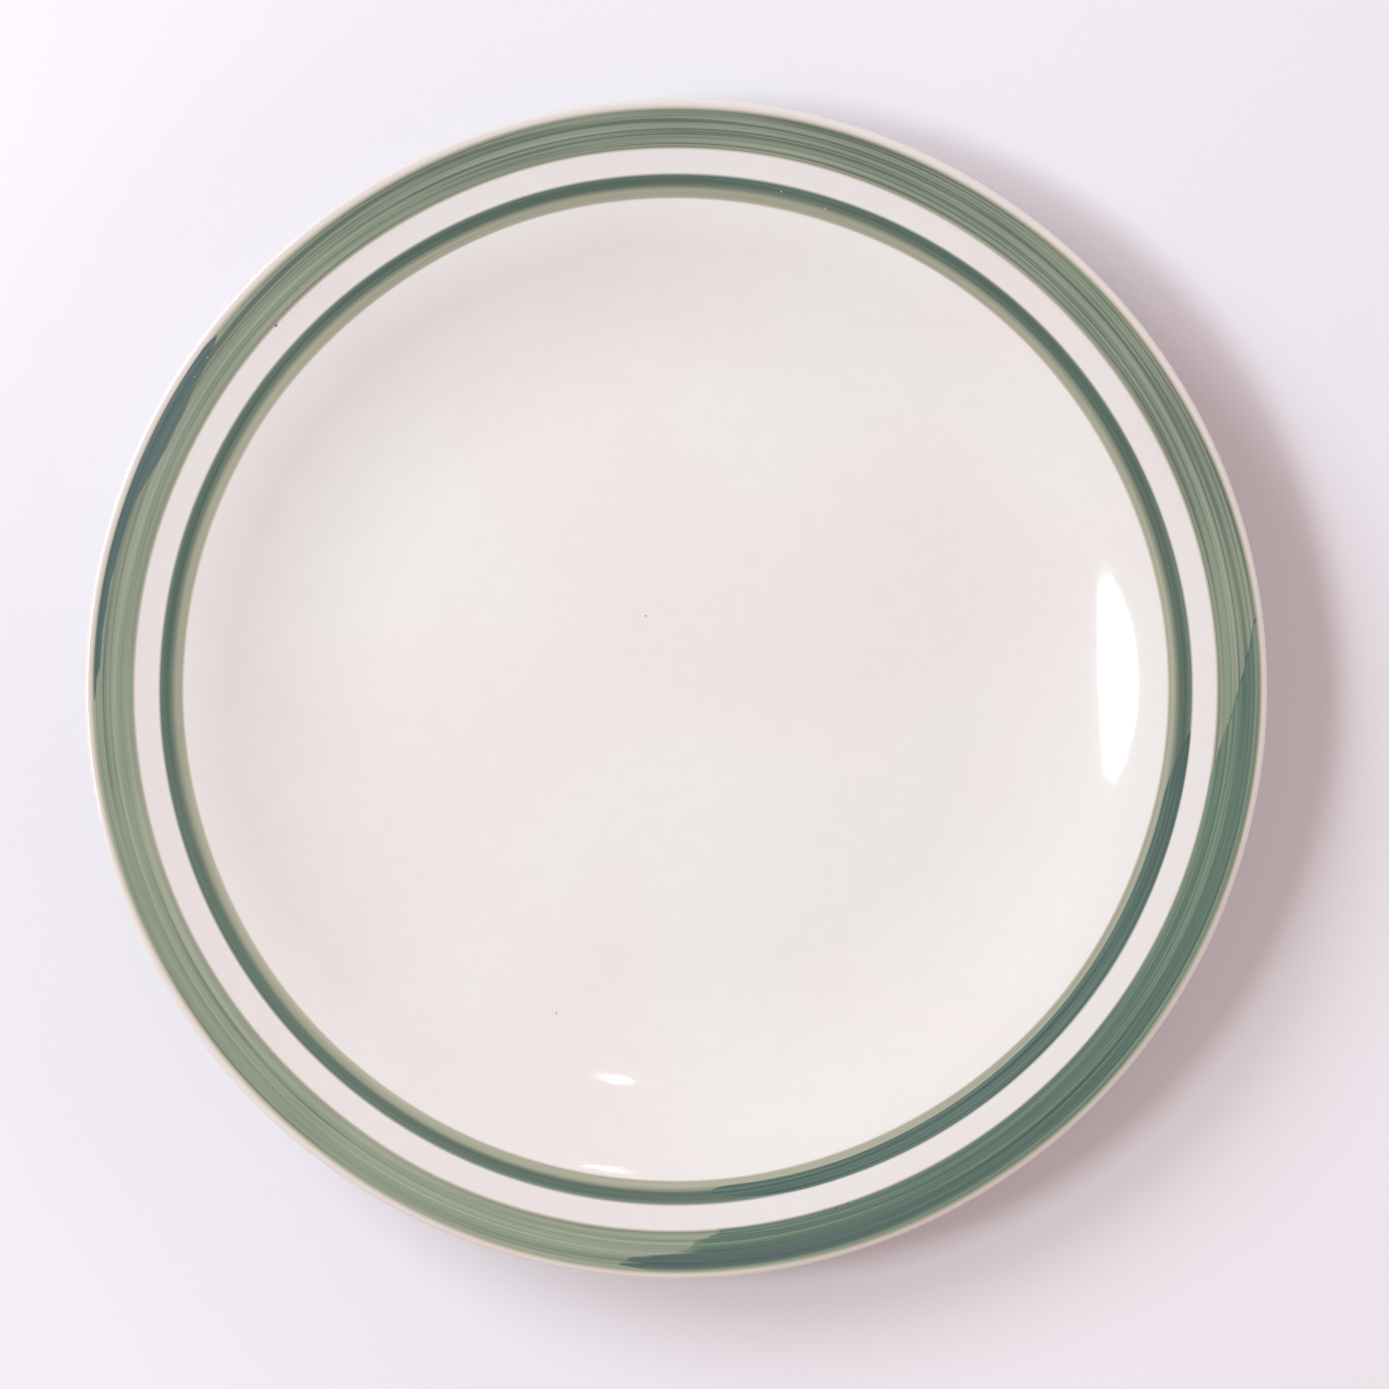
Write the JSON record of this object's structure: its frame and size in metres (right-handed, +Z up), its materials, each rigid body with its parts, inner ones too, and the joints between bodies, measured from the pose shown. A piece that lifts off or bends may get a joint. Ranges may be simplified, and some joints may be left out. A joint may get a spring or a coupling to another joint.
{
  "type": "dinner plate",
  "caption": "Round glazed dinner plate with a shallow well, an upswept rim, a foot ring underneath and hand-brushed grey-green bands around the rim.",
  "frame": {"origin": "centre of the foot ring's standing face, on the table's surface", "axes": "+Z up along the plate's axis, out of the well; azimuth 0 is +X, where the second stroke of the wide band runs out"},
  "size_m": [0.27, 0.27, 0.0235],
  "materials": {
    "bare_clay": "fine-grained fired clay, unglazed",
    "white_glaze": "smooth glossy white glaze, nearly neutral",
    "grey_green_brushwork": "single brushed coat of grey-green colour melted into the glaze, streaked along the stroke",
    "deep_green_brushwork": "second brushed coat over the first, darker and bluer",
    "thin_wash": "thin edge of the brushed line, where the white shows through"
  },
  "bodies": {
    "root": {"clay_body": "bare_clay", "glaze_coat": "white_glaze", "base_glaze": "white_glaze", "rim_band": "grey_green_brushwork", "rim_band_lap": "deep_green_brushwork", "rim_touch_up": "deep_green_brushwork", "inner_line": "grey_green_brushwork", "inner_line_wash": "thin_wash", "inner_line_lap": "deep_green_brushwork"}
  },
  "joints": []
}
